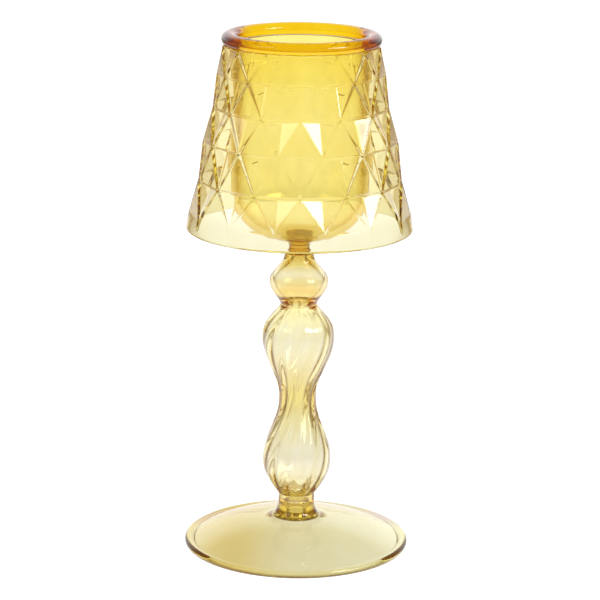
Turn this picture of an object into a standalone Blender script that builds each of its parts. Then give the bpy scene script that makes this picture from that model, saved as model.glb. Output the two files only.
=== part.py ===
"""Amber glass tealight holder in the form of a small table lamp.

Eight pieces of blown and drawn glass stand on one axis and are fused end to end: foot, collar, ribbed
stem, knop, post, cup, rim ring and a faceted shade that hangs from the ring around the cup.
Metres, +Z up. The origin is on the axis, in the plane that the foot rests on.
"""

import math

import bmesh
import bpy

MM = 0.001
HEIGHT = 200.0 * MM  # from the table to the top of the rim ring
SEAM = 0.3 * MM  # gap left where two pieces are fused
BLOWN_WALL = 19.3 * MM * MM  # wall times radius of the stem and knop: wide bulbs are blown thin
MERGE = 0.00001  # merge distance of the turned shapes

# Foot: a shallow blown dome with a rolled edge
FOOT_RADIUS = 43.3 * MM
FOOT_BEAD = 1.4 * MM  # radius of the rolled edge
FOOT_GROUND_WIDTH = 2.0 * MM  # ring ground flat under the edge
FOOT_DOME_EDGE = (40.4 * MM, 2.35 * MM)  # radius and height where the dome meets the rolled edge
FOOT_DOME_Z = 11.2 * MM
FOOT_DOME_POWER = 2.1
FOOT_BOSS = (8.3 * MM, 12.3 * MM)  # radius and height of the seat that the collar stands on
FOOT_FILLET = 5.0 * MM  # width of the hollow curve from the seat down to the dome
FOOT_WALL = 2.0 * MM

# Collar: a short thick-walled ring that widens onto the foot
COLLAR_RADIUS = 6.95 * MM
COLLAR_BORE = 3.0 * MM
COLLAR_BOTTOM = FOOT_BOSS[1] + SEAM
COLLAR_TOP = 17.6 * MM
COLLAR_FLARE_POWER = 3.0

# Stem: two bulbs with a waist between them, pressed with twisted ribs
STEM_BOTTOM = COLLAR_TOP + SEAM
STEM_FOOT_NECK = (20.2 * MM, 6.95 * MM)  # height, radius
STEM_LOWER_BULB = (34.8 * MM, 13.2 * MM)
STEM_WAIST = (59.0 * MM, 7.1 * MM)
STEM_UPPER_BULB = (82.8 * MM, 13.8 * MM)
STEM_TOP = (95.7 * MM, 7.0 * MM)
RIBS = 12
RIB_DEPTH = 0.35 * MM
RIB_TWIST = math.radians(1100.0)  # turn per metre of height
RIB_FADE = 6.0 * MM  # height over which the ribs run out at each end

# Knop: a flattened bulb that narrows upwards to the post
KNOP_BOTTOM = STEM_TOP[0] + SEAM
KNOP_BULB = (105.0 * MM, 11.25 * MM)
KNOP_TOP = (115.6 * MM, 5.6 * MM)

# Post: a short solid rod between knop and cup
POST_BOTTOM = KNOP_TOP[0] + SEAM
POST_RADIUS = 4.3 * MM
POST_WAIST = 0.35 * MM
POST_FLARE = 1.0 * MM

# Cup: a straight tube with a rounded bottom
CUP_RADIUS = 25.7 * MM
CUP_WALL = 2.0 * MM
CUP_BOTTOM = 120.6 * MM
CUP_SHOULDER = 141.0 * MM  # the wall is straight above this height
CUP_ROUNDNESS = 2.25  # exponent of the superellipse that closes the bottom
CUP_FLOOR_RADIUS = 9.0 * MM
CUP_FLOOR_THICKNESS = 3.0 * MM
CUP_BOTTOM_STEPS = 9

# Rim ring: a thick rounded ring that joins cup and shade
RIM_RADIUS = 27.0 * MM  # to the middle of the section
RIM_HALF_WIDTH = 3.1 * MM
RIM_HALF_HEIGHT = 2.2 * MM
RIM_BOTTOM = HEIGHT - 2 * RIM_HALF_HEIGHT

# Shade: a mould-blown cone whose upper part is covered with facets
SHADE_TOP = RIM_BOTTOM - SEAM
SHADE_BOTTOM = 125.2 * MM
SHADE_WALL = 1.8 * MM
SHADE_SIDES = 14  # facets around
SHADE_ROWS = (  # height and radius of a row of facet corners, and depth of the valleys below it
    (194.6 * MM, 30.3 * MM, 0.5 * MM),
    (184.6 * MM, 31.7 * MM, 1.4 * MM),
    (172.2 * MM, 33.8 * MM, 1.4 * MM),
    (159.0 * MM, 36.8 * MM, 1.4 * MM),
    (144.4 * MM, 39.2 * MM, 1.4 * MM),
    (131.9 * MM, 42.0 * MM, 0.0 * MM),
)
SHADE_BOTTOM_RADIUS = 43.0 * MM
VALLEY_LEDGE = 0.6  # drop of the ledge at a valley's head for each unit of its depth
SKIRT_SPLITS = 4  # skirt panels to each facet
SKIRT_LEVELS = 3

TURN_STEPS = 44
SMALL_TURN_STEPS = 24
STEM_STEPS = 4 * RIBS

AMBER = (0.90, 0.52, 0.06, 1.0)
DEEP_AMBER = (0.80, 0.36, 0.02, 1.0)
PALE_AMBER = (0.95, 0.80, 0.35, 1.0)


# ---------------------------------------------------------------- scene and helpers

def empty_the_scene():
    for obj in list(bpy.data.objects):
        bpy.data.objects.remove(obj, do_unlink=True)


def new_collection(name):
    collection = bpy.data.collections.new(name)
    bpy.context.scene.collection.children.link(collection)
    return collection


def glass(name, colour):
    material = bpy.data.materials.new(name)
    material.use_nodes = True
    shader = material.node_tree.nodes["Principled BSDF"]
    shader.inputs["Base Color"].default_value = colour
    shader.inputs["Roughness"].default_value = 0.03
    shader.inputs["Metallic"].default_value = 0.0
    shader.inputs["IOR"].default_value = 1.47
    shader.inputs["Transmission Weight"].default_value = 1.0
    material.diffuse_color = colour
    return material


def add_object(name, mesh, material, collection):
    obj = bpy.data.objects.new(name, mesh)
    collection.objects.link(obj)
    mesh.materials.append(material)
    return obj


def turned(name, outline, steps, material, collection, closed_loop=False):
    """Turn an outline of (radius, height) about the axis; it runs down the outer side."""
    mesh = bpy.data.meshes.new(name)
    points = [(radius, 0.0, height) for radius, height in outline]
    edges = [(i, i + 1) for i in range(len(points) - 1)]
    if closed_loop:
        edges.append((len(points) - 1, 0))
    mesh.from_pydata(points, edges, [])
    obj = add_object(name, mesh, material, collection)
    screw = obj.modifiers.new("turn", "SCREW")
    screw.axis = "Z"
    screw.angle = math.tau
    screw.steps = steps
    screw.render_steps = steps
    screw.use_merge_vertices = True
    screw.merge_threshold = MERGE
    screw.use_smooth_shade = True
    return obj


def evaluated_mesh(obj):
    """The object's mesh with its modifiers applied, as a new mesh."""
    graph = bpy.context.evaluated_depsgraph_get()
    return bpy.data.meshes.new_from_object(obj.evaluated_get(graph))


def blend(start, end, share):
    return start + (end - start) * share


def arc(centre, radius_x, radius_z, start, end, steps):
    """Points on an ellipse in the (radius, height) plane; angles in degrees, 0 is outwards."""
    points = []
    for i in range(steps + 1):
        angle = math.radians(blend(start, end, i / steps))
        points.append((centre[0] + radius_x * math.cos(angle), centre[1] + radius_z * math.sin(angle)))
    return points


def swell(height, peak, neck, fullness, sharpness):
    """Radius between a bulb's widest level and a neck; both are (height, radius)."""
    away = min(abs((height - peak[0]) / (neck[0] - peak[0])), 1.0)
    return neck[1] + (peak[1] - neck[1]) * (1.0 - away ** fullness) ** sharpness


def levels(start, end, count):
    return [blend(start, end, i / count) for i in range(count + 1)]


def tube_outline(radius_at, heights):
    """Closed outline of a blown tube: down the outside, then up the inside."""
    outside = [(radius_at(z), z) for z in heights]
    inside = [(radius_at(z) - BLOWN_WALL / radius_at(z), z) for z in reversed(heights)]
    return outside + inside


# ---------------------------------------------------------------- foot and collar

def foot_dome(radius):
    """Height of the plain dome at a distance from the axis."""
    fall = FOOT_DOME_Z - FOOT_DOME_EDGE[1]
    return FOOT_DOME_Z - fall * (radius / FOOT_DOME_EDGE[0]) ** FOOT_DOME_POWER


def foot_surface(radius):
    """Height of the foot's upper surface: the dome with a hollow curve that rises to the seat."""
    outwards = min((radius - FOOT_BOSS[0]) / FOOT_FILLET, 1.0)
    rise = FOOT_BOSS[1] - foot_dome(FOOT_BOSS[0])
    return foot_dome(radius) + rise * (1.0 - outwards) ** 3


def make_foot(material, collection):
    edge = FOOT_RADIUS - FOOT_BEAD
    seat = [(0.0, FOOT_BOSS[1])]
    fillet_end = FOOT_BOSS[0] + FOOT_FILLET
    fillet = [(radius, foot_surface(radius)) for radius in levels(FOOT_BOSS[0], fillet_end, 4)]
    dome = [(radius, foot_surface(radius)) for radius in levels(fillet_end, FOOT_DOME_EDGE[0], 6)[1:]]
    bead = arc((edge, FOOT_BEAD), FOOT_BEAD, FOOT_BEAD, 120, -60, 6)
    ground = [(edge, 0.0), (edge - FOOT_GROUND_WIDTH, 0.0)]
    inner_edge = edge - FOOT_GROUND_WIDTH - FOOT_WALL / 2
    under = [(radius, foot_dome(radius) - FOOT_WALL) for radius in levels(inner_edge, 0.0, 7)]
    outline = seat + fillet + dome + bead + ground + under
    return turned("foot", outline, TURN_STEPS, material, collection)


def collar_radius(height):
    down = (COLLAR_TOP - height) / (COLLAR_TOP - COLLAR_BOTTOM)
    return blend(COLLAR_RADIUS, FOOT_BOSS[0], down ** COLLAR_FLARE_POWER)


def make_collar(material, collection):
    heights = levels(COLLAR_TOP, COLLAR_BOTTOM, 7)
    outline = [(collar_radius(height), height) for height in heights]
    outline += [(COLLAR_BORE, COLLAR_BOTTOM), (COLLAR_BORE, COLLAR_TOP)]
    return turned("foot_collar", outline, SMALL_TURN_STEPS, material, collection, True)


# ---------------------------------------------------------------- stem, knop and post

def stem_radius(height):
    if height < STEM_FOOT_NECK[0]:
        return STEM_FOOT_NECK[1]
    if height < STEM_LOWER_BULB[0]:
        return swell(height, STEM_LOWER_BULB, STEM_FOOT_NECK, 2.3, 1.2)
    if height < STEM_WAIST[0]:
        return swell(height, STEM_LOWER_BULB, STEM_WAIST, 2.0, 2.6)
    if height < STEM_UPPER_BULB[0]:
        return swell(height, STEM_UPPER_BULB, STEM_WAIST, 2.0, 2.4)
    return swell(height, STEM_UPPER_BULB, STEM_TOP, 2.6, 1.5)


def rib_strength(height):
    """0 at the two fused ends of the stem, 1 between them."""
    from_end = min(height - STEM_BOTTOM, STEM_TOP[0] - height)
    return max(0.0, min(1.0, from_end / RIB_FADE))


def make_stem(material, collection):
    heights = levels(STEM_TOP[0], STEM_BOTTOM, 26)
    outline = tube_outline(stem_radius, heights)
    plain = turned("stem_plain", outline, STEM_STEPS, material, collection, True)
    mesh = evaluated_mesh(plain)
    bpy.data.objects.remove(plain, do_unlink=True)
    for vertex in mesh.vertices:
        x, y, z = vertex.co
        radius = math.hypot(x, y)
        if radius < stem_radius(z) - RIB_DEPTH:
            continue
        turn = math.atan2(y, x) - RIB_TWIST * z
        groove = RIB_DEPTH * rib_strength(z) * (1.0 - math.cos(RIBS * turn)) / 2
        vertex.co.x = x * (radius - groove) / radius
        vertex.co.y = y * (radius - groove) / radius
    mesh.name = "stem_tube"
    obj = bpy.data.objects.new("stem_tube", mesh)
    collection.objects.link(obj)
    return obj


def knop_radius(height):
    if height < KNOP_BULB[0]:
        return swell(height, KNOP_BULB, (KNOP_BOTTOM, STEM_TOP[1]), 2.0, 1.6)
    return swell(height, KNOP_BULB, KNOP_TOP, 2.0, 2.7)


def make_knop(material, collection):
    outline = tube_outline(knop_radius, levels(KNOP_TOP[0], KNOP_BOTTOM, 14))
    return turned("stem_knop", outline, SMALL_TURN_STEPS, material, collection, True)


def make_post(material, collection):
    top = CUP_BOTTOM - SEAM
    outline = [(0.0, top)]
    for height in levels(top, POST_BOTTOM, 8):
        share = (height - POST_BOTTOM) / (top - POST_BOTTOM)
        waist = POST_WAIST * math.sin(math.pi * share)
        flare = POST_FLARE * (share ** 6 + (1.0 - share) ** 6)
        outline.append((POST_RADIUS - waist + flare, height))
    outline.append((0.0, POST_BOTTOM))
    return turned("cup_post", outline, SMALL_TURN_STEPS, material, collection)


# ---------------------------------------------------------------- cup and rim

def rounded_bottom(radius, share):
    """Radius at a share of the way down the cup's rounded bottom."""
    return radius * (1.0 - share ** CUP_ROUNDNESS) ** (1.0 / CUP_ROUNDNESS)


def make_cup(material, collection):
    top = RIM_BOTTOM - SEAM
    middle = blend(CUP_SHOULDER, top, 0.5)
    inner_radius = CUP_RADIUS - CUP_WALL
    floor = CUP_BOTTOM + CUP_FLOOR_THICKNESS
    shares = [math.sin(math.pi / 2 * i / CUP_BOTTOM_STEPS) for i in range(CUP_BOTTOM_STEPS)]

    outline = [(0.0, floor), (CUP_FLOOR_RADIUS, floor)]
    for share in reversed(shares):
        height = CUP_SHOULDER - (CUP_SHOULDER - CUP_BOTTOM - CUP_WALL) * share
        if height > floor + SEAM:
            outline.append((rounded_bottom(inner_radius, share), height))
    outline += [(inner_radius, middle), (inner_radius, top), (CUP_RADIUS, top), (CUP_RADIUS, middle)]
    for share in shares:
        height = CUP_SHOULDER - (CUP_SHOULDER - CUP_BOTTOM) * share
        outline.append((rounded_bottom(CUP_RADIUS, share), height))
    outline.append((0.0, CUP_BOTTOM))
    return turned("tealight_cup", outline, TURN_STEPS, material, collection)


def make_rim(material, collection):
    centre = (RIM_RADIUS, HEIGHT - RIM_HALF_HEIGHT)
    section = arc(centre, RIM_HALF_WIDTH, RIM_HALF_HEIGHT, 90, -270, 16)[:-1]
    return turned("rim_ring", section, TURN_STEPS, material, collection, True)


# ---------------------------------------------------------------- shade

def ring_point(radius, turn, height):
    """turn counts facets from the front of the object."""
    angle = math.tau * turn / SHADE_SIDES - math.pi / 2
    return (radius * math.cos(angle), radius * math.sin(angle), height)


def chord_radius(radius, share):
    """Radius of a point a share of the way along a facet's straight horizontal edge."""
    half = math.pi / SHADE_SIDES
    return radius * math.cos(half) / math.cos(half * (2.0 * share - 1.0))


def valley_radius(radius, depth):
    """A valley lies inside the middle of the straight edge above it."""
    return chord_radius(radius, 0.5) - depth


class Surface:
    """Collects the shade's vertices by name, so that facets can share them."""

    def __init__(self):
        self.bm = bmesh.new()
        self.named = {}

    def point(self, key, co):
        if key not in self.named:
            self.named[key] = self.bm.verts.new(co)
        return self.named[key]

    def face(self, *vertices):
        self.bm.faces.new(vertices)


def corner(surface, row, turn):
    """Facet corner; turn is a whole number on rows 0, 2, 4 and a half number on the others."""
    height, radius = SHADE_ROWS[row][:2]
    turn = turn % SHADE_SIDES
    return surface.point(("corner", row, turn), ring_point(radius, turn, height))


def valley(surface, row, turn):
    """Top of the valley midway between two corners of a row, inside and below their edge."""
    height, radius, depth = SHADE_ROWS[row]
    turn = turn % SHADE_SIDES
    floor = ring_point(valley_radius(radius, depth), turn, height - VALLEY_LEDGE * depth)
    return surface.point(("valley", row, turn), floor)


def skirt_point(surface, level, turn):
    """Point on the plain skirt; level 0 lies on the straight edges of the last facets."""
    last_height, last_radius = SHADE_ROWS[-1][:2]
    down = level / SKIRT_LEVELS
    turn = turn % SHADE_SIDES
    share = (turn + 0.5) % 1.0
    if level == 0 and share == 0.0:
        return corner(surface, len(SHADE_ROWS) - 1, turn)
    height = blend(last_height, SHADE_BOTTOM, down)
    radius = blend(last_radius, SHADE_BOTTOM_RADIUS, math.sqrt(down))
    if level == 0:
        radius = chord_radius(radius, share)
    return surface.point(("skirt", level, turn), ring_point(radius, turn, height))


def top_point(surface, turn):
    """Point on the edge that the shade is fused to the rim by, straight above the first row."""
    radius, depth = SHADE_ROWS[0][1:]
    turn = turn % SHADE_SIDES
    if turn % 1.0:
        radius = valley_radius(radius, depth)
    return surface.point(("top", turn), ring_point(radius, turn, SHADE_TOP))


def facet_strip(surface, row):
    """One band of facets: flat ones that stand on the row below, and valleys that hang between."""
    lower = row + 1
    offset = 0.5 * (row % 2)
    for i in range(SHADE_SIDES):
        turn = i + offset
        apex = corner(surface, row, turn)
        left = corner(surface, lower, turn - 0.5)
        right = corner(surface, lower, turn + 0.5)
        if lower < len(SHADE_ROWS) - 1:
            head = valley(surface, lower, turn)
            surface.face(apex, left, right)
            surface.face(left, head, right)
        else:
            base = [skirt_point(surface, 0, turn - 0.5 + k / SKIRT_SPLITS) for k in range(SKIRT_SPLITS + 1)]
            for a, b in zip(base, base[1:]):
                surface.face(apex, a, b)
        dip = valley(surface, row, turn + 0.5)
        neighbour = corner(surface, row, turn + 1.0)
        surface.face(apex, right, dip)
        surface.face(dip, right, neighbour)


def make_shade(material, collection):
    surface = Surface()
    for i in range(SHADE_SIDES):
        top = [top_point(surface, i + k / 2) for k in range(3)]
        first, dip, second = corner(surface, 0, i), valley(surface, 0, i + 0.5), corner(surface, 0, i + 1)
        surface.face(top[0], first, dip, top[1])
        surface.face(top[1], dip, second, top[2])
    for row in range(len(SHADE_ROWS) - 1):
        facet_strip(surface, row)
    for level in range(SKIRT_LEVELS):
        for i in range(SHADE_SIDES * SKIRT_SPLITS):
            a, b = 0.5 + i / SKIRT_SPLITS, 0.5 + (i + 1) / SKIRT_SPLITS
            surface.face(
                skirt_point(surface, level, a), skirt_point(surface, level + 1, a),
                skirt_point(surface, level + 1, b), skirt_point(surface, level, b),
            )
    mesh = bpy.data.meshes.new("shade")
    surface.bm.to_mesh(mesh)
    surface.bm.free()
    obj = add_object("shade", mesh, material, collection)
    shell = obj.modifiers.new("wall", "SOLIDIFY")
    shell.thickness = SHADE_WALL
    shell.offset = -1.0
    return obj


def main():
    empty_the_scene()
    collection = new_collection("tealight_holder")
    amber = glass("amber_glass", AMBER)
    deep = glass("deep_amber_glass", DEEP_AMBER)
    pale = glass("pale_amber_glass", PALE_AMBER)
    make_foot(pale, collection)
    make_collar(amber, collection)
    make_stem(pale, collection)
    make_knop(pale, collection)
    make_post(deep, collection)
    make_cup(amber, collection)
    make_rim(deep, collection)
    make_shade(pale, collection)


main()
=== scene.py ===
"""Looks of the amber glass tealight holder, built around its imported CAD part.

Each of the eight CAD solids is replaced by a finer closed mesh inside the same overall box: blown walls with
rounded ends that meet in thin fusion lines, twisted optic ribs, soft facet edges and a rolled foot edge.
The underside of the foot, the lower half of the rim ring and the shade's skirt differ slightly from the CAD.
Metres, +Z up, the camera on the -Y side.
"""

import math

import bmesh
import bpy
import numpy as np
from mathutils import Matrix, Vector


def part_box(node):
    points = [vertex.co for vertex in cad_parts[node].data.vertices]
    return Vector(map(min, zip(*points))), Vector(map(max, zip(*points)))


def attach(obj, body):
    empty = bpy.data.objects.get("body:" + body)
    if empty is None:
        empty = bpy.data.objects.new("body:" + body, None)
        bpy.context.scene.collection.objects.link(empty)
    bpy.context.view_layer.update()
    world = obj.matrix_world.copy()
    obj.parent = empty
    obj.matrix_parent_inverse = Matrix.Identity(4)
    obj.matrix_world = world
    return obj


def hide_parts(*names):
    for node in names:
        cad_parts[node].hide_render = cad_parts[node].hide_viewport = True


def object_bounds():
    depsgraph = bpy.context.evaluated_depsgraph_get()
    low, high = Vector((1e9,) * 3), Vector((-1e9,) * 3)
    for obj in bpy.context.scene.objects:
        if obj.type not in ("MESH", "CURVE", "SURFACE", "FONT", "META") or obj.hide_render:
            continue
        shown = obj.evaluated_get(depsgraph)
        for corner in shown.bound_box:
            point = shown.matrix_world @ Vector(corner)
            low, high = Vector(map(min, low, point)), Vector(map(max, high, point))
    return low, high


MM = 0.001

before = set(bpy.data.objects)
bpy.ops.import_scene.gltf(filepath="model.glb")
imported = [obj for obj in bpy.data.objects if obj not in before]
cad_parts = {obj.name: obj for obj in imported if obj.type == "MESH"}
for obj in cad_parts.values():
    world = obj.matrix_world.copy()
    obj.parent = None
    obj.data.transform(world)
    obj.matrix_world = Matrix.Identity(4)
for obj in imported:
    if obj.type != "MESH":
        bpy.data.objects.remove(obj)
cad_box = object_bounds()

# ---------------------------------------------------------------- dimensions
SEAM = 0.02 * MM  # air left in a fusion line
SEAM_ROUNDING = 0.22 * MM  # radius of the melted corners beside a fusion line
BLOWN_WALL = 19.3 * MM * MM  # wall times radius of the blown stem and knop
AROUND = 192  # steps round a turned piece
ROUNDING_STEPS = 5

FOOT_DOME_Z = 11.2 * MM
FOOT_DOME_EDGE = (40.4 * MM, 2.35 * MM)
FOOT_DOME_POWER = 2.1
FOOT_BOSS_RADIUS = 8.3 * MM
FOOT_FILLET = 5.0 * MM
FOOT_WALL = 2.0 * MM
FOOT_BEAD = 1.4 * MM
FOOT_BEAD_ARC = (128.0, -75.0)  # degrees, from the dome down to the ground ring
FOOT_GROUND_WIDTH = 2.0 * MM
FOOT_GROUND_ROUNDING = 0.5 * MM
FOOT_STEPS = (90, 24, 50)  # along the dome, round the edge and along the underside

COLLAR_RADIUS = 6.95 * MM
COLLAR_BORE = 3.0 * MM
COLLAR_FLARE_POWER = 3.0
COLLAR_STEPS = 40

STEM_FOOT_NECK = (20.2 * MM, 6.95 * MM)  # height, radius
STEM_LOWER_BULB = (34.8 * MM, 13.2 * MM)
STEM_WAIST = (59.0 * MM, 7.1 * MM)
STEM_UPPER_BULB = (82.8 * MM, 13.8 * MM)
STEM_TOP_RADIUS = 7.0 * MM
STEM_SWELLS = ((2.3, 1.2), (2.0, 2.6), (2.0, 2.4), (2.6, 1.5))  # fullness and sharpness, from the foot up
RIBS = 12
RIB_DEPTH = 0.35 * MM
RIPPLE_DEPTH = -0.2 * MM  # the inner wall swells where the outer one is grooved
RIB_TWIST = math.radians(1100.0)  # turn per metre of height
RIB_FADE = 6.0 * MM  # height over which the ribs run out at each end
STEM_STEPS = 240

KNOP_BULB = (105.0 * MM, 11.25 * MM)
KNOP_TOP_RADIUS = 5.6 * MM
KNOP_SWELLS = ((2.0, 1.6), (2.0, 2.7))  # the same, below and above its widest level
KNOP_STEPS = 110

POST_RADIUS = 4.3 * MM
POST_WAIST = 0.35 * MM
POST_FLARE = 1.0 * MM
POST_FLARE_POWER = 6
POST_STEPS = 40

CUP_WALL = 2.0 * MM
CUP_SHOULDER = 141.0 * MM
CUP_ROUNDNESS = 2.25
CUP_FLOOR_THICKNESS = 3.0 * MM
CUP_FLOOR_RADIUS = 9.0 * MM
CUP_FLOOR_CLEARANCE = 0.25 * MM  # the inner wall's curve ends this far above the floor
CUP_STEPS = (60, 40)  # down the rounded bottom and along the straight wall

RIM_WIDTH = 6.2 * MM
RIM_STEPS = 72
RIM_UPPER_SHARE = 0.52  # of the ring's height, above its widest level
RIM_SQUARENESS = 3.2  # exponent of the superellipse below the widest level

SHADE_WALL = 1.8 * MM
SHADE_SIDES = 14
SHADE_ROWS = (  # height and radius of a row of facet corners, and depth of the valleys below it
    (194.6 * MM, 30.3 * MM, 0.5 * MM),
    (184.6 * MM, 31.7 * MM, 1.4 * MM),
    (172.2 * MM, 33.8 * MM, 1.4 * MM),
    (159.0 * MM, 36.8 * MM, 1.4 * MM),
    (144.4 * MM, 39.2 * MM, 1.4 * MM),
    (131.9 * MM, 42.0 * MM, 0.0 * MM),
)
VALLEY_LEDGE = 0.5  # drop of the ledge at a valley's head for each unit of its depth
INNER_RELIEF = 0.75  # depth of the valleys on the inner wall, as a share of the outer ones
FACET_BEVEL = 0.4 * MM
FLAT_EDGE = 0.03  # radians; edges flatter than this keep no bevel
LIP_STEPS = 10
SKIRT_SPLITS = 16  # skirt panels to each facet
SKIRT_LEVELS = 8
SKIRT_POWER = 0.9  # shape of the skirt's slope, 1 being straight


# ---------------------------------------------------------------- helpers
def blend(start, end, share):
    return start + (end - start) * share


def levels(start, end, count):
    return [blend(start, end, i / count) for i in range(count + 1)]


def swell(height, peak, neck, fullness, sharpness):
    """Radius between a bulb's widest level and a neck; both are (height, radius)."""
    away = min(abs((height - peak[0]) / (neck[0] - peak[0])), 1.0)
    return neck[1] + (peak[1] - neck[1]) * (1.0 - away ** fullness) ** sharpness


def arc(centre, radius, start, end, steps):
    """Points round a centre of (radius, height), between two angles in degrees."""
    angles = levels(math.radians(start), math.radians(end), steps)
    return [(centre[0] + radius * math.cos(a), centre[1] + radius * math.sin(a)) for a in angles]


def rounded(outline, corners, size):
    """The outline with the corners of those indices rounded off."""
    count = len(outline)
    corners = {i % count for i in corners}
    result = []
    for i, point in enumerate(outline):
        if i not in corners:
            result.append(tuple(point))
            continue
        here = np.array(point)
        before, after = np.array(outline[i - 1]), np.array(outline[(i + 1) % count])
        reach = [min(size, 0.8 * np.linalg.norm(p - here)) for p in (before, after)]
        start = here + (before - here) / np.linalg.norm(before - here) * reach[0]
        end = here + (after - here) / np.linalg.norm(after - here) * reach[1]
        for t in levels(0.0, 1.0, ROUNDING_STEPS):
            result.append(tuple((1 - t) ** 2 * start + 2 * t * (1 - t) * here + t ** 2 * end))
    return result


def set_normals(mesh):
    """Smooth shading in which large faces stay flat: a vertex takes its faces' normals by their area."""
    count = len(mesh.vertices)
    normals = np.zeros((count, 3))
    for polygon in mesh.polygons:
        normals[list(polygon.vertices)] += np.array(polygon.normal) * polygon.area
    normals /= np.maximum(np.linalg.norm(normals, axis=1, keepdims=True), 1e-12)
    mesh.shade_smooth()
    mesh.normals_split_custom_set_from_vertices(normals.tolist())


def add_piece(name, mesh, node, material):
    mesh.materials.append(material)
    piece = bpy.data.objects.new(name, mesh)
    bpy.context.scene.collection.objects.link(piece)
    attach(piece, "root")
    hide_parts(node)


def turned_mesh(name, outline, closed_loop, reshape=None):
    """Turns an outline of (radius, height) that runs down the outer side. An open one ends on the axis."""
    outline = np.array(outline, float)
    rings = outline if closed_loop else outline[1:-1]
    angles = np.arange(AROUND) * math.tau / AROUND
    radius = np.repeat(rings[:, :1], AROUND, axis=1)
    height = np.repeat(rings[:, 1:], AROUND, axis=1)
    angle = np.repeat(angles[None, :], len(rings), axis=0)
    if reshape:
        radius = reshape(radius, angle, height)
    points = np.stack([radius * np.cos(angle), radius * np.sin(angle), height], axis=-1).reshape(-1, 3)
    points = [tuple(p) for p in points]
    faces = []
    for i in range(len(rings) if closed_loop else len(rings) - 1):
        upper, lower = i * AROUND, (i + 1) % len(rings) * AROUND
        for j in range(AROUND):
            k = (j + 1) % AROUND
            faces.append((upper + j, lower + j, lower + k, upper + k))
    if not closed_loop:
        first, last = len(points), len(points) + 1
        points += [(0.0, 0.0, outline[0][1]), (0.0, 0.0, outline[-1][1])]
        base = (len(rings) - 1) * AROUND
        for j in range(AROUND):
            k = (j + 1) % AROUND
            faces.append((first, j, k))
            faces.append((last, base + k, base + j))
    mesh = bpy.data.meshes.new(name)
    mesh.from_pydata(points, [], faces)
    mesh.shade_smooth()
    return mesh


# ---------------------------------------------------------------- materials
class Nodes:
    """Short calls to build a node tree."""

    def __init__(self, tree):
        self.tree = tree

    def new(self, kind, inputs=None, **settings):
        node = self.tree.nodes.new(kind)
        for key, value in settings.items():
            setattr(node, key, value)
        for key, value in (inputs or {}).items():
            if isinstance(value, bpy.types.NodeSocket):
                self.tree.links.new(value, node.inputs[key])
            else:
                node.inputs[key].default_value = value
        return node

    def maths(self, operation, *values):
        return self.new("ShaderNodeMath", dict(enumerate(values)), operation=operation).outputs["Value"]

    def multiply(self, first, second):
        node = self.new("ShaderNodeMix", data_type="RGBA", blend_type="MULTIPLY")
        node.inputs["Factor"].default_value = 1.0
        colours = [socket for socket in node.inputs if socket.type == "RGBA"]
        self.tree.links.new(first, colours[0])
        self.tree.links.new(second, colours[1])
        return [socket for socket in node.outputs if socket.type == "RGBA"][0]

    def ramp(self, factor, stops, interpolation="LINEAR"):
        node = self.new("ShaderNodeValToRGB", {"Fac": factor})
        ramp = node.color_ramp
        ramp.interpolation = interpolation
        while len(ramp.elements) < len(stops):
            ramp.elements.new(1.0)
        for element, (position, colour) in zip(ramp.elements, stops):
            element.position = position
            element.color = (*colour, 1.0)
        return node.outputs["Color"]


CLEAR = (1.0, 1.0, 1.0)
GLASS_IOR = 1.47
ABSORPTION_DENSITY = 1000.0  # per metre
STRIAE = {"Scale": 90.0, "Detail": 3.0, "Roughness": 0.55, "Distortion": 0.6}  # drawn streaks of colour
STRIAE_STRETCH = (1.0, 1.0, 0.25)
STRIAE_STOPS = (0.35, 0.65)
WAVES = {"Scale": 70.0, "Detail": 2.0, "Roughness": 0.4}  # slow unevenness of hand-worked glass
WAVE_HEIGHT = 0.6 * MM
HAZE = {"Scale": 220.0, "Detail": 4.0}
HAZE_RANGE = (0.45, 0.8)
HAZE_ROUGHNESS = 0.035
GROOVE_SHADE = 0.30  # how much sooner the painted edge shade sets in along a groove's bottom: painted shade in the recess
GROOVE_NARROWNESS = 3.0
WAIST_SHADE = 0.26  # the same, at the stem's waist
WAIST_REACH = 13.0 * MM  # height above and below the waist over which that fades out


def groove_mask(n, axes):
    """1 along the bottoms of the stem's twisted grooves and 0 on its ribs."""
    turn = n.maths("ARCTAN2", axes["Y"], axes["X"])
    twisted = n.maths("MULTIPLY_ADD", axes["Z"], -RIB_TWIST, turn)
    wave = n.maths("COSINE", n.maths("MULTIPLY", twisted, RIBS))
    return n.maths("POWER", n.maths("MULTIPLY_ADD", wave, -0.5, 0.5), GROOVE_NARROWNESS)


def waist_mask(n, axes):
    """1 at the stem's waist, falling to 0 above and below it."""
    away = n.maths("ABSOLUTE", n.maths("SUBTRACT", axes["Z"], STEM_WAIST[0]))
    return n.maths("MAXIMUM", n.maths("SUBTRACT", 1.0, n.maths("DIVIDE", away, WAIST_REACH)), 0.0)


def zone_tint(n, along, zones):
    """A tint that runs through (position in mm, colour) stops along one axis."""
    first, last = zones[0][0], zones[-1][0]
    share = n.new("ShaderNodeMapRange", {
        "Value": along, "From Min": first * MM, "From Max": last * MM, "To Min": 0.0, "To Max": 1.0,
    }).outputs["Result"]
    return n.ramp(share, [((at - first) / (last - first), colour) for at, colour in zones], "EASE")


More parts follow.
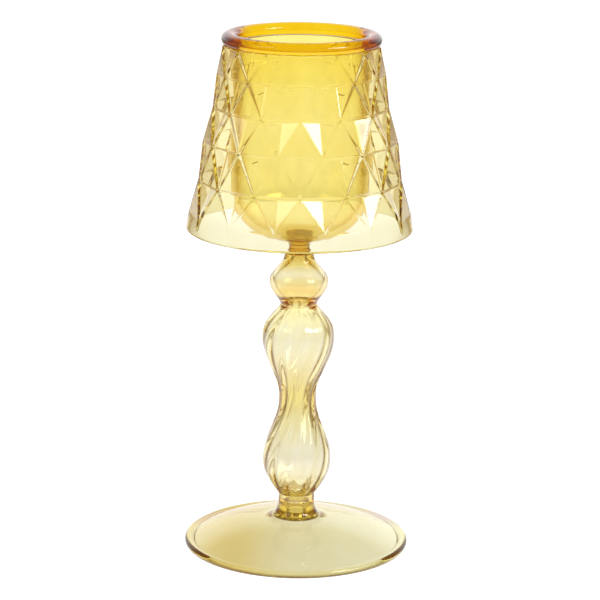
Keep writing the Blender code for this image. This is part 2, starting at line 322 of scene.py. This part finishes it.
def amber_glass(
    name, absorption, edge, streak, zones, axis="Z", grazing=(0.78, 0.97), bump=0.12, gloss=0.5,
    across=None, ribbed=False,
):
    """Clear glass that takes its colour from its depth; absorption is per millimetre, in linear RGB.

    zones are (position in mm along the axis, tint) of the surface, across the same along Y, streak is the
    tint of the striae, and edge is a painted shade: the tint laid on glass seen at a grazing angle,
    darkening it towards its silhouette in place of the darker surroundings seen there by refraction; grazing
    gives the facing at which it starts and at which it is full. gloss is the specular level.
    """
    material = bpy.data.materials.new(name)
    material.use_nodes = True
    tree = material.node_tree
    tree.nodes.clear()
    n = Nodes(tree)
    place = n.new("ShaderNodeTexCoord").outputs["Object"]
    drawn = n.new("ShaderNodeMapping", {"Vector": place, "Scale": STRIAE_STRETCH}).outputs["Vector"]
    striae = n.new("ShaderNodeTexNoise", {"Vector": drawn, **STRIAE}).outputs["Fac"]
    tint = n.ramp(striae, [(STRIAE_STOPS[0], streak), (STRIAE_STOPS[1], CLEAR)])
    axes = n.new("ShaderNodeSeparateXYZ", {"Vector": place}).outputs
    facing = n.new("ShaderNodeLayerWeight", {"Blend": 0.5}).outputs["Facing"]
    # painted shade: the edge darkening sets in sooner along the grooves and at the stem's waist
    if ribbed:
        facing = n.maths("MULTIPLY_ADD", groove_mask(n, axes), GROOVE_SHADE, facing)
        facing = n.maths("MULTIPLY_ADD", waist_mask(n, axes), WAIST_SHADE, facing)
    # painted shade: glass seen at a grazing angle is tinted towards edge, darkening it towards its
    # silhouette
    painted_edge_shade = n.ramp(facing, [(0.0, CLEAR), (grazing[0], CLEAR), (grazing[1], edge)], "EASE")
    colour = n.multiply(n.multiply(tint, painted_edge_shade), zone_tint(n, axes[axis], zones))
    if across:
        colour = n.multiply(colour, zone_tint(n, axes["Y"], across))
    waves = n.new("ShaderNodeTexNoise", {"Vector": place, **WAVES}).outputs["Fac"]
    relief = n.new("ShaderNodeBump", {"Strength": bump, "Distance": WAVE_HEIGHT, "Height": waves})
    haze = n.new("ShaderNodeTexNoise", {"Vector": place, **HAZE}).outputs["Fac"]
    rough = n.new("ShaderNodeMapRange", {
        "Value": haze, "From Min": HAZE_RANGE[0], "From Max": HAZE_RANGE[1],
        "To Min": 0.0, "To Max": HAZE_ROUGHNESS,
    })
    shader = n.new("ShaderNodeBsdfPrincipled", {
        "Base Color": colour, "Roughness": rough.outputs["Result"], "Normal": relief.outputs["Normal"],
        "IOR": GLASS_IOR, "Transmission Weight": 1.0, "Specular IOR Level": gloss,
    })
    depth = n.new("ShaderNodeVolumeAbsorption")
    depth.inputs["Density"].default_value = ABSORPTION_DENSITY
    depth.inputs["Color"].default_value = (*[1.0 - a / (ABSORPTION_DENSITY * MM) for a in absorption], 1.0)
    output = n.new("ShaderNodeOutputMaterial")
    tree.links.new(shader.outputs["BSDF"], output.inputs["Surface"])
    tree.links.new(depth.outputs["Volume"], output.inputs["Volume"])
    return material


# ---------------------------------------------------------------- foot and collar
def foot_dome(radius):
    fall = FOOT_DOME_Z - FOOT_DOME_EDGE[1]
    return FOOT_DOME_Z - fall * (radius / FOOT_DOME_EDGE[0]) ** FOOT_DOME_POWER


def make_foot(material):
    low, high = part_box("foot")
    top = blend(high.z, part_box("foot_collar")[0].z, 0.5) - SEAM / 2
    edge = high.x - FOOT_BEAD
    rise = top - foot_dome(FOOT_BOSS_RADIUS)

    def surface(radius):
        outwards = min((radius - FOOT_BOSS_RADIUS) / FOOT_FILLET, 1.0)
        return foot_dome(radius) + rise * (1.0 - outwards) ** 3

    dome_steps, edge_steps, under_steps = FOOT_STEPS
    outline = [(0.0, top), (FOOT_BOSS_RADIUS / 2, top)]
    boss_edge = len(outline)
    outline += [(r, surface(r)) for r in levels(FOOT_BOSS_RADIUS, FOOT_DOME_EDGE[0], dome_steps)]
    outline += arc((edge, low.z + FOOT_BEAD), FOOT_BEAD, *FOOT_BEAD_ARC, edge_steps)
    ground = len(outline)
    outline += [(edge, low.z), (edge - FOOT_GROUND_WIDTH, low.z)]
    # the underside follows the top, so that the boss is hollow beneath as well
    inner_edge = edge - FOOT_GROUND_WIDTH - FOOT_WALL / 2
    outline += [(r, surface(r) - FOOT_WALL) for r in levels(inner_edge, FOOT_BOSS_RADIUS, under_steps)]
    outline += [(FOOT_BOSS_RADIUS / 2, top - FOOT_WALL), (0.0, top - FOOT_WALL)]
    outline = rounded(outline, [boss_edge], SEAM_ROUNDING)
    ground_edge = ground + 1 + ROUNDING_STEPS
    outline = rounded(outline, [ground_edge], FOOT_GROUND_ROUNDING)
    mesh = turned_mesh("foot_glass", outline, False)
    add_piece("foot_glass", mesh, "foot", material)


def make_collar(material):
    low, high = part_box("foot_collar")
    bottom = blend(low.z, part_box("foot")[1].z, 0.5) + SEAM / 2
    top = blend(high.z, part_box("stem_tube")[0].z, 0.5) - SEAM / 2
    outline = []
    for height in levels(top, bottom, COLLAR_STEPS):
        down = (top - height) / (top - bottom)
        outline.append((blend(COLLAR_RADIUS, high.x, down ** COLLAR_FLARE_POWER), height))
    corners = [0, len(outline) - 1, len(outline), len(outline) + 1]
    outline += [(COLLAR_BORE, bottom), (COLLAR_BORE, top)]
    outline = rounded(outline, corners, SEAM_ROUNDING)
    mesh = turned_mesh("collar_glass", outline, True)
    add_piece("collar_glass", mesh, "foot_collar", material)


# ---------------------------------------------------------------- stem, knop and post
def tube_outline(radius_at, top, bottom, count):
    """Closed outline of a blown tube with rounded ends: down the outside, then up the inside."""
    heights = levels(top, bottom, count)
    outside = [(radius_at(z), z) for z in heights]
    inside = [(radius_at(z) - BLOWN_WALL / radius_at(z), z) for z in reversed(heights)]
    corners = [0, count, count + 1, 2 * count + 1]
    return rounded(outside + inside, corners, SEAM_ROUNDING)


def make_stem(material):
    low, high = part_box("stem_tube")
    bottom = blend(low.z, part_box("foot_collar")[1].z, 0.5) + SEAM / 2
    top = blend(high.z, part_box("stem_knop")[0].z, 0.5) - SEAM / 2
    top_neck = (high.z, STEM_TOP_RADIUS)

    def radius_at(z):
        if z < STEM_FOOT_NECK[0]:
            return STEM_FOOT_NECK[1]
        if z < STEM_LOWER_BULB[0]:
            return swell(z, STEM_LOWER_BULB, STEM_FOOT_NECK, *STEM_SWELLS[0])
        if z < STEM_WAIST[0]:
            return swell(z, STEM_LOWER_BULB, STEM_WAIST, *STEM_SWELLS[1])
        if z < STEM_UPPER_BULB[0]:
            return swell(z, STEM_UPPER_BULB, STEM_WAIST, *STEM_SWELLS[2])
        return swell(z, STEM_UPPER_BULB, top_neck, *STEM_SWELLS[3])

    def ribbed(radius, angle, height):
        middle = np.array([radius_at(z) - BLOWN_WALL / radius_at(z) / 2 for z in height[:, 0]])[:, None]
        depth = np.where(radius > middle, RIB_DEPTH, RIPPLE_DEPTH)
        strength = np.clip(np.minimum(height - low.z, high.z - height) / RIB_FADE, 0.0, 1.0)
        groove = (1.0 - np.cos(RIBS * (angle - RIB_TWIST * height))) / 2
        return radius - depth * strength * groove

    outline = tube_outline(radius_at, top, bottom, STEM_STEPS)
    mesh = turned_mesh("stem_glass", outline, True, ribbed)
    add_piece("stem_glass", mesh, "stem_tube", material)


def make_knop(material):
    low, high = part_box("stem_knop")
    bottom = blend(low.z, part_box("stem_tube")[1].z, 0.5) + SEAM / 2
    top = blend(high.z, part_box("cup_post")[0].z, 0.5) - SEAM / 2

    def radius_at(z):
        if z < KNOP_BULB[0]:
            return swell(z, KNOP_BULB, (low.z, STEM_TOP_RADIUS), *KNOP_SWELLS[0])
        return swell(z, KNOP_BULB, (high.z, KNOP_TOP_RADIUS), *KNOP_SWELLS[1])

    mesh = turned_mesh("knop_glass", tube_outline(radius_at, top, bottom, KNOP_STEPS), True)
    add_piece("knop_glass", mesh, "stem_knop", material)


def make_post(material):
    low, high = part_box("cup_post")
    bottom = blend(low.z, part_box("stem_knop")[1].z, 0.5) + SEAM / 2
    top = blend(high.z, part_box("tealight_cup")[0].z, 0.5) - SEAM / 2
    outline = [(0.0, top)]
    for height in levels(top, bottom, POST_STEPS):
        share = (height - bottom) / (top - bottom)
        waist = POST_WAIST * math.sin(math.pi * share)
        flare = POST_FLARE * (share ** POST_FLARE_POWER + (1.0 - share) ** POST_FLARE_POWER)
        outline.append((POST_RADIUS - waist + flare, height))
    outline.append((0.0, bottom))
    outline = rounded(outline, [1, len(outline) - 2], SEAM_ROUNDING)
    mesh = turned_mesh("post_glass", outline, False)
    add_piece("post_glass", mesh, "cup_post", material)


# ---------------------------------------------------------------- cup and rim
def make_cup(material):
    low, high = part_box("tealight_cup")
    top = blend(high.z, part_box("rim_ring")[0].z, 0.5) - SEAM / 2
    outer, inner = high.x, high.x - CUP_WALL
    bottom, floor = low.z, low.z + CUP_FLOOR_THICKNESS
    bottom_steps, wall_steps = CUP_STEPS
    shares = [math.sin(math.pi / 2 * i / bottom_steps) for i in range(bottom_steps)]

    def rounded_bottom(radius, share):
        return radius * (1.0 - share ** CUP_ROUNDNESS) ** (1.0 / CUP_ROUNDNESS)

    outline = [(0.0, floor), (CUP_FLOOR_RADIUS / 2, floor), (CUP_FLOOR_RADIUS, floor)]
    for share in reversed(shares):
        height = CUP_SHOULDER - (CUP_SHOULDER - bottom - CUP_WALL) * share
        if height > floor + CUP_FLOOR_CLEARANCE:
            outline.append((rounded_bottom(inner, share), height))
    outline += [(inner, z) for z in levels(CUP_SHOULDER, top, wall_steps)[1:]]
    outline += [(outer, z) for z in levels(top, CUP_SHOULDER, wall_steps)]
    for share in shares[1:]:
        outline.append((rounded_bottom(outer, share), CUP_SHOULDER - (CUP_SHOULDER - bottom) * share))
    outline.append((0.0, bottom))
    corners = [i for i, p in enumerate(outline) if abs(p[1] - top) < 1e-9]
    outline = rounded(outline, corners, SEAM_ROUNDING)
    mesh = turned_mesh("cup_glass", outline, False)
    add_piece("cup_glass", mesh, "tealight_cup", material)


def make_rim(material):
    low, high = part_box("rim_ring")
    bottom = blend(low.z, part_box("tealight_cup")[1].z, 0.5) + SEAM / 2
    half = RIM_WIDTH / 2
    centre = high.x - half
    height = high.z - bottom
    widest = high.z - height * RIM_UPPER_SHARE
    power = 2.0 / RIM_SQUARENESS
    outline = []
    for i in range(RIM_STEPS):
        angle = math.pi / 2 - math.tau * i / RIM_STEPS
        c, s = math.cos(angle), math.sin(angle)
        if s >= 0:
            outline.append((centre + half * c, widest + (high.z - widest) * s))
        else:  # squarer below, where the ring is fused to the cup and the shade
            across = half * math.copysign(abs(c) ** power, c)
            outline.append((centre + across, widest - (widest - bottom) * abs(s) ** power))
    mesh = turned_mesh("rim_glass", outline, True)
    add_piece("rim_glass", mesh, "rim_ring", material)


# ---------------------------------------------------------------- shade
def ring_point(radius, turn, height):
    """turn counts facets from the front of the object."""
    angle = math.tau * turn / SHADE_SIDES - math.pi / 2
    return (radius * math.cos(angle), radius * math.sin(angle), height)


def chord_radius(radius, share):
    """Radius of a point a share of the way along a facet's straight horizontal edge."""
    half = math.pi / SHADE_SIDES
    return radius * math.cos(half) / math.cos(half * (2.0 * share - 1.0))


class Skin:
    """One side of the shade's wall: flat facets on their rows, the valleys between them, and the skirt."""

    def __init__(self, bm, inset, relief, outward, top, lip, bottom_radius):
        self.bm, self.inset, self.relief, self.outward = bm, inset, relief, outward
        self.top, self.lip, self.bottom_radius = top, lip, bottom_radius
        self.named = {}
        self.facets = []

    def point(self, key, radius, turn, height):
        turn = turn % SHADE_SIDES
        key = (*key, round(turn * SKIRT_SPLITS * 2))
        if key not in self.named:
            self.named[key] = self.bm.verts.new(ring_point(radius - self.inset, turn, height))
        return self.named[key]

    def face(self, *vertices):
        return self.bm.faces.new(vertices if self.outward else vertices[::-1])

    def corner(self, row, turn):
        height, radius = SHADE_ROWS[row][:2]
        return self.point(("corner", row), radius, turn, height)

    def valley(self, row, turn):
        height, radius, depth = SHADE_ROWS[row]
        depth *= self.relief
        ledge = height - VALLEY_LEDGE * depth
        return self.point(("valley", row), chord_radius(radius, 0.5) - depth, turn, ledge)

    def top_point(self, turn):
        radius, depth = SHADE_ROWS[0][1:]
        if turn % 1.0:
            radius = chord_radius(radius, 0.5) - depth * self.relief
        return self.point(("top",), radius, turn, self.top)

    def skirt(self, level, turn):
        last_height, last_radius = SHADE_ROWS[-1][:2]
        share = (turn + 0.5) % 1.0
        if level == 0 and share == 0.0:
            return self.corner(len(SHADE_ROWS) - 1, turn)
        down = level / SKIRT_LEVELS
        round_radius = blend(last_radius, self.bottom_radius, down ** SKIRT_POWER)
        straight = chord_radius(round_radius, share)
        return self.point(
            ("skirt", level), blend(straight, round_radius, down), turn, blend(last_height, self.lip, down),
        )

    def build(self):
        for i in range(SHADE_SIDES):
            tops = [self.top_point(i + k / 2) for k in range(3)]
            first, dip, second = self.corner(0, i), self.valley(0, i + 0.5), self.corner(0, i + 1)
            self.facets.append(self.face(tops[0], first, dip, tops[1]))
            self.facets.append(self.face(tops[1], dip, second, tops[2]))
        for row in range(len(SHADE_ROWS) - 1):
            self.facet_strip(row)
        for level in range(SKIRT_LEVELS):
            for i in range(SHADE_SIDES * SKIRT_SPLITS):
                a, b = i / SKIRT_SPLITS, (i + 1) / SKIRT_SPLITS
                upper, lower = level, level + 1
                self.face(
                    self.skirt(upper, a), self.skirt(lower, a), self.skirt(lower, b), self.skirt(upper, b),
                )

    def facet_strip(self, row):
        lower = row + 1
        for i in range(SHADE_SIDES):
            turn = i + 0.5 * (row % 2)
            apex = self.corner(row, turn)
            left, right = self.corner(lower, turn - 0.5), self.corner(lower, turn + 0.5)
            if lower < len(SHADE_ROWS) - 1:
                head = self.valley(lower, turn)
                self.facets.append(self.face(apex, left, right))
                self.facets.append(self.face(left, head, right))
            else:
                splits = range(SKIRT_SPLITS + 1)
                base = [self.skirt(0, turn - 0.5 + k / SKIRT_SPLITS) for k in splits]
                self.facets.append(self.face(apex, *base))
            dip = self.valley(row, turn + 0.5)
            neighbour = self.corner(row, turn + 1.0)
            self.facets.append(self.face(apex, right, dip))
            self.facets.append(self.face(dip, right, neighbour))

    def top_ring(self):
        return [self.top_point(i / 2) for i in range(2 * SHADE_SIDES)]

    def bottom_ring(self):
        return [self.skirt(SKIRT_LEVELS, i / SKIRT_SPLITS) for i in range(SHADE_SIDES * SKIRT_SPLITS)]


def ring_faces(bm, upper, lower):
    for i in range(len(upper)):
        j = (i + 1) % len(upper)
        bm.faces.new((upper[i], lower[i], lower[j], upper[j]))


def make_shade(material):
    low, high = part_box("shade")
    top = blend(high.z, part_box("rim_ring")[0].z, 0.5) - SEAM / 2
    half_wall = SHADE_WALL / 2
    lip = low.z + half_wall
    bm = bmesh.new()
    outer = Skin(bm, 0.0, 1.0, True, top, lip, high.x)
    inner = Skin(bm, SHADE_WALL, INNER_RELIEF, False, top, lip, high.x)
    for skin in (outer, inner):
        skin.build()
    ring_faces(bm, inner.top_ring(), outer.top_ring())
    lip_rings = [outer.bottom_ring()]
    turns = [i / SKIRT_SPLITS for i in range(SHADE_SIDES * SKIRT_SPLITS)]
    for radius, height in arc((high.x - half_wall, lip), half_wall, 0.0, -180.0, LIP_STEPS)[1:-1]:
        lip_rings.append([bm.verts.new(ring_point(radius, turn, height)) for turn in turns])
    lip_rings.append(inner.bottom_ring())
    for upper, lower in zip(lip_rings, lip_rings[1:]):
        ring_faces(bm, upper, lower)

    bm.normal_update()
    facets = set(outer.facets) | set(inner.facets)
    sharp = [
        e for e in bm.edges
        if len(e.link_faces) == 2 and all(f in facets for f in e.link_faces)
        and e.calc_face_angle() > FLAT_EDGE
    ]
    bmesh.ops.bevel(
        bm, geom=sharp, offset=FACET_BEVEL, offset_type="OFFSET", segments=2, profile=0.5,
        affect="EDGES", clamp_overlap=True,
    )
    mesh = bpy.data.meshes.new("shade_glass")
    bm.to_mesh(mesh)
    bm.free()
    set_normals(mesh)
    add_piece("shade_glass", mesh, "shade", material)


# ---------------------------------------------------------------- stage, lights and camera
FLOOR_RADIUS = 4.0
FLOOR_DROP = 0.2 * MM
FLOOR_MATT = (0.12, 0.12, 0.12, 1.0)
FLOOR_GLOW = 1.16
FLOOR_SPREAD = 0.16  # the lit part of the floor widens towards the backdrop
FLOOR_SIDES = (0.18, 0.55)  # metres aside over which the floor's glow falls to the surroundings'
FLOOR_FRONT = (0.30, 0.85)  # rise to full glow, as shares of the way from 1 m in front up to the object
BACKDROP = 1.30  # strength of the backdrop
SKY_STOPS = (0.40, 0.62)  # sine of the elevation from backdrop to ceiling
SIDE_STOPS = (0.76, 0.95)  # from the surroundings to the backdrop, 1 being straight behind the object
CEILING = (0.62, 0.52, 0.34)
SURROUND = (0.34, 0.28, 0.19)  # the studio beside and in front of the object, against the backdrop

SOFTBOX_AZIMUTH = 56.0  # degrees to each side of the camera
SOFTBOX_ELEVATION = 31.0
SOFTBOX_DISTANCE = 1.5
SOFTBOX_SIZE = (0.75, 0.36)
SOFTBOX_RIGHT = 13.0  # radiance
SOFTBOX_LEFT = 2.4

CAMERA_PLACE = (0.5 * MM, -962.2 * MM, 339.4 * MM)
CAMERA_PITCH = 14.13  # degrees down
CAMERA_ROLL = 0.7
CAMERA_LENS = 155.9
CAMERA_SENSOR = 36.0
CAMERA_CLIP = (0.05, 20.0)

MAX_BOUNCES = 96  # light is totally reflected many times along the glass walls
GLASS_BOUNCES = 64
DIFFUSE_BOUNCES = 3


def make_stage():
    """A pale floor that glows like the backdrop behind the object and is dimmer beside and before it."""
    mesh = bpy.data.meshes.new("floor")
    bm = bmesh.new()
    bmesh.ops.create_circle(bm, cap_ends=True, radius=FLOOR_RADIUS, segments=96)
    bm.to_mesh(mesh)
    bm.free()
    mesh.transform(Matrix.Translation((0.0, 0.0, cad_box[0].z - FLOOR_DROP)))
    material = bpy.data.materials.new("pale_floor")
    material.use_nodes = True
    tree = material.node_tree
    tree.nodes.clear()
    n = Nodes(tree)
    matt = n.new("ShaderNodeBsdfDiffuse", {"Color": FLOOR_MATT})
    axes = n.new("ShaderNodeSeparateXYZ", {"Vector": n.new("ShaderNodeTexCoord").outputs["Object"]}).outputs
    aside = n.maths("MULTIPLY_ADD", axes["Y"], -FLOOR_SPREAD, n.maths("ABSOLUTE", axes["X"]))
    ahead = n.new("ShaderNodeMapRange", {"Value": axes["Y"], "From Min": -1.0, "From Max": 0.0})
    sides = n.ramp(aside, [(FLOOR_SIDES[0], CLEAR), (FLOOR_SIDES[1], SURROUND)], "EASE")
    front = n.ramp(ahead.outputs["Result"], [(FLOOR_FRONT[0], SURROUND), (FLOOR_FRONT[1], CLEAR)], "EASE")
    glow = n.new("ShaderNodeEmission", {"Color": n.multiply(sides, front), "Strength": FLOOR_GLOW})
    both = n.new("ShaderNodeAddShader")
    output = n.new("ShaderNodeOutputMaterial")
    tree.links.new(matt.outputs["BSDF"], both.inputs[0])
    tree.links.new(glow.outputs["Emission"], both.inputs[1])
    tree.links.new(both.outputs["Shader"], output.inputs["Surface"])
    mesh.materials.append(material)
    floor = bpy.data.objects.new("floor", mesh)
    bpy.context.scene.collection.objects.link(floor)


def make_world():
    """A bright white backdrop, with dimmer warm surroundings beside, above and on the camera's side."""
    world = bpy.data.worlds.new("studio")
    bpy.context.scene.world = world
    world.use_nodes = True
    tree = world.node_tree
    tree.nodes.clear()
    n = Nodes(tree)
    direction = n.new("ShaderNodeTexCoord").outputs["Generated"]
    axes = n.new("ShaderNodeSeparateXYZ", {"Vector": direction}).outputs
    sky = n.ramp(axes["Z"], [(0.0, CLEAR), (SKY_STOPS[0], CLEAR), (SKY_STOPS[1], CEILING)], "EASE")
    depth = n.new("ShaderNodeMapRange", {"Value": axes["Y"], "From Min": -1.0, "From Max": 1.0})
    sides = n.ramp(depth.outputs["Result"], [(SIDE_STOPS[0], SURROUND), (SIDE_STOPS[1], CLEAR)], "EASE")
    background = n.new("ShaderNodeBackground", {"Color": n.multiply(sky, sides), "Strength": BACKDROP})
    output = n.new("ShaderNodeOutputWorld")
    tree.links.new(background.outputs["Background"], output.inputs["Surface"])


def softbox(name, azimuth, radiance):
    """A light that faces the object's middle; azimuth 0 is the camera's side, growing to +X."""
    width, height = SOFTBOX_SIZE
    light = bpy.data.lights.new(name, "AREA")
    light.shape = "RECTANGLE"
    light.size, light.size_y = width, height
    light.energy = radiance * math.pi * width * height
    lamp = bpy.data.objects.new(name, light)
    bpy.context.scene.collection.objects.link(lamp)
    a, e = math.radians(azimuth), math.radians(SOFTBOX_ELEVATION)
    centre = (cad_box[0] + cad_box[1]) / 2
    away = Vector((math.sin(a) * math.cos(e), -math.cos(a) * math.cos(e), math.sin(e)))
    lamp.location = centre + away * SOFTBOX_DISTANCE
    lamp.rotation_mode = "QUATERNION"
    lamp.rotation_quaternion = away.to_track_quat("Z", "Y")
    lamp.visible_camera = False


def make_camera():
    camera = bpy.data.cameras.new("camera")
    camera.sensor_width = CAMERA_SENSOR
    camera.lens = CAMERA_LENS
    camera.clip_start, camera.clip_end = CAMERA_CLIP
    eye = bpy.data.objects.new("camera", camera)
    bpy.context.scene.collection.objects.link(eye)
    place = Matrix.Translation(CAMERA_PLACE)
    tilt = Matrix.Rotation(math.radians(90.0 - CAMERA_PITCH), 4, "X")
    roll = Matrix.Rotation(math.radians(CAMERA_ROLL), 4, "Z")
    eye.matrix_world = place @ tilt @ roll
    bpy.context.scene.camera = eye


def main():
    # In each call the tint after the absorption is the painted edge shade, laid on glass seen at a grazing
    # angle.
    shade_glass = amber_glass(
        "shade_glass", (0.013, 0.027, 0.160), (0.38, 0.22, 0.02), (0.985, 0.975, 0.93),
        [
            (121, (0.83, 0.83, 0.76)), (130, (0.87, 0.865, 0.80)), (137, (0.98, 0.97, 0.94)),
            (160, (1.0, 0.99, 0.965)), (196, (1.0, 0.98, 0.92)),
        ],
        grazing=(0.36, 0.94), gloss=0.3,
    )
    cup_glass = amber_glass(
        "cup_glass", (0.006, 0.022, 0.165), (0.66, 0.42, 0.06), (0.99, 0.97, 0.88),
        [
            (120, (0.95, 0.93, 0.84)), (140, (1.0, 1.0, 0.97)), (165, (1.0, 1.0, 0.97)),
            (180, (1.0, 0.985, 0.82)), (195, (1.0, 0.975, 0.62)),
        ],
        grazing=(0.40, 0.80),
    )
    rim_glass = amber_glass(
        "rim_glass", (0.028, 0.085, 0.75), (0.38, 0.10, 0.01), (0.97, 0.90, 0.70),
        [
            # painted shade: the X zones darken the ring's left and right ends, where long dark light paths
            # show from the camera
            (-30, (0.55, 0.20, 0.06)), (-20, (0.98, 0.94, 0.9)),
            (20, (0.98, 0.94, 0.9)), (30, (0.85, 0.42, 0.12)),
        ],
        axis="X", grazing=(0.50, 0.90), bump=0.2, gloss=0.2,
    )
    post_glass = amber_glass(
        "post_glass", (0.018, 0.045, 0.25), (0.42, 0.15, 0.02), (0.98, 0.90, 0.66),
        [(114, (0.80, 0.58, 0.28)), (119.6, (0.80, 0.58, 0.28)), (120.2, CLEAR)], bump=0.2, gloss=0.3,
    )
    collar_glass = amber_glass(
        "collar_glass", (0.022, 0.045, 0.20), (0.38, 0.19, 0.03), (0.97, 0.92, 0.75),
        [(12, (0.92, 0.91, 0.84)), (18, (0.92, 0.91, 0.84))], grazing=(0.55, 0.92), bump=0.2, gloss=0.3,
    )
    stem_glass = amber_glass(
        "stem_glass", (0.008, 0.026, 0.125), (0.22, 0.11, 0.01), (0.98, 0.97, 0.92),
        [
            # painted shade: the dimming all along and the near-neutral grey at the bulbs stand in for darker
            # surroundings reflected in the curved walls; the yellower stops at the necks and waist are the
            # glass's colour
            (17, (0.96, 0.93, 0.82)), (24, (0.92, 0.90, 0.83)), (35, (0.86, 0.86, 0.85)),
            (50, (0.88, 0.87, 0.79)), (59, (0.90, 0.87, 0.66)), (69, (0.90, 0.87, 0.77)),
            (82, (0.89, 0.89, 0.85)), (89, (0.96, 0.95, 0.82)), (96, (1.0, 1.0, 0.88)),
        ],
        grazing=(0.46, 0.95), ribbed=True, gloss=0.35,
    )
    knop_glass = amber_glass(
        "knop_glass", (0.008, 0.026, 0.120), (0.26, 0.08, 0.01), (0.98, 0.96, 0.88),
        [
            # painted shade: the near-neutral grey stops at the bulb (105 and 108 mm), as on the stem; the
            # amber at the base and the neck is the glass's colour at its joints
            (96, (1.0, 1.0, 0.86)), (99, (0.93, 0.78, 0.42)), (102, (0.90, 0.84, 0.62)),
            (105, (0.92, 0.92, 0.91)), (108, (0.93, 0.94, 0.94)), (112, (0.85, 0.81, 0.60)),
            (116, (0.78, 0.67, 0.36)),
        ],
        grazing=(0.46, 0.95), gloss=0.35,
    )
    foot_glass = amber_glass(
        "foot_glass", (0.015, 0.025, 0.14), (0.72, 0.56, 0.30), (0.98, 0.97, 0.93),
        [
            # partly the foot's olive-gold glass and partly painted shade: darker all over for the shaded
            # floor seen through it, and darker and more golden towards -X, away from the brighter softbox
            (-44, (0.76, 0.67, 0.45)), (-25, (0.69, 0.58, 0.30)), (0, (0.73, 0.69, 0.56)),
            (25, (0.76, 0.74, 0.64)), (44, (0.83, 0.82, 0.76)),
        ],
        axis="X", gloss=0.35,
        # painted sheen: a little darker in front, and a pinkish lustre reflection laid on the far (+Y) side
        # of the foot
        across=[(-10, (0.93, 0.93, 0.90)), (8, CLEAR), (24, (0.96, 0.89, 1.30)), (36, (1.0, 0.98, 1.0))],
    )

    make_foot(foot_glass)
    make_collar(collar_glass)
    make_stem(stem_glass)
    make_knop(knop_glass)
    make_post(post_glass)
    make_cup(cup_glass)
    make_rim(rim_glass)
    make_shade(shade_glass)

    make_stage()
    make_world()
    softbox("softbox_right", SOFTBOX_AZIMUTH, SOFTBOX_RIGHT)
    softbox("softbox_left", -SOFTBOX_AZIMUTH, SOFTBOX_LEFT)
    make_camera()

    scene = bpy.context.scene
    scene.view_settings.view_transform = "Standard"
    scene.view_settings.look = "None"
    scene.cycles.max_bounces = MAX_BOUNCES
    scene.cycles.transmission_bounces = GLASS_BOUNCES
    scene.cycles.glossy_bounces = GLASS_BOUNCES
    scene.cycles.diffuse_bounces = DIFFUSE_BOUNCES
    scene.cycles.use_denoising = True


main()
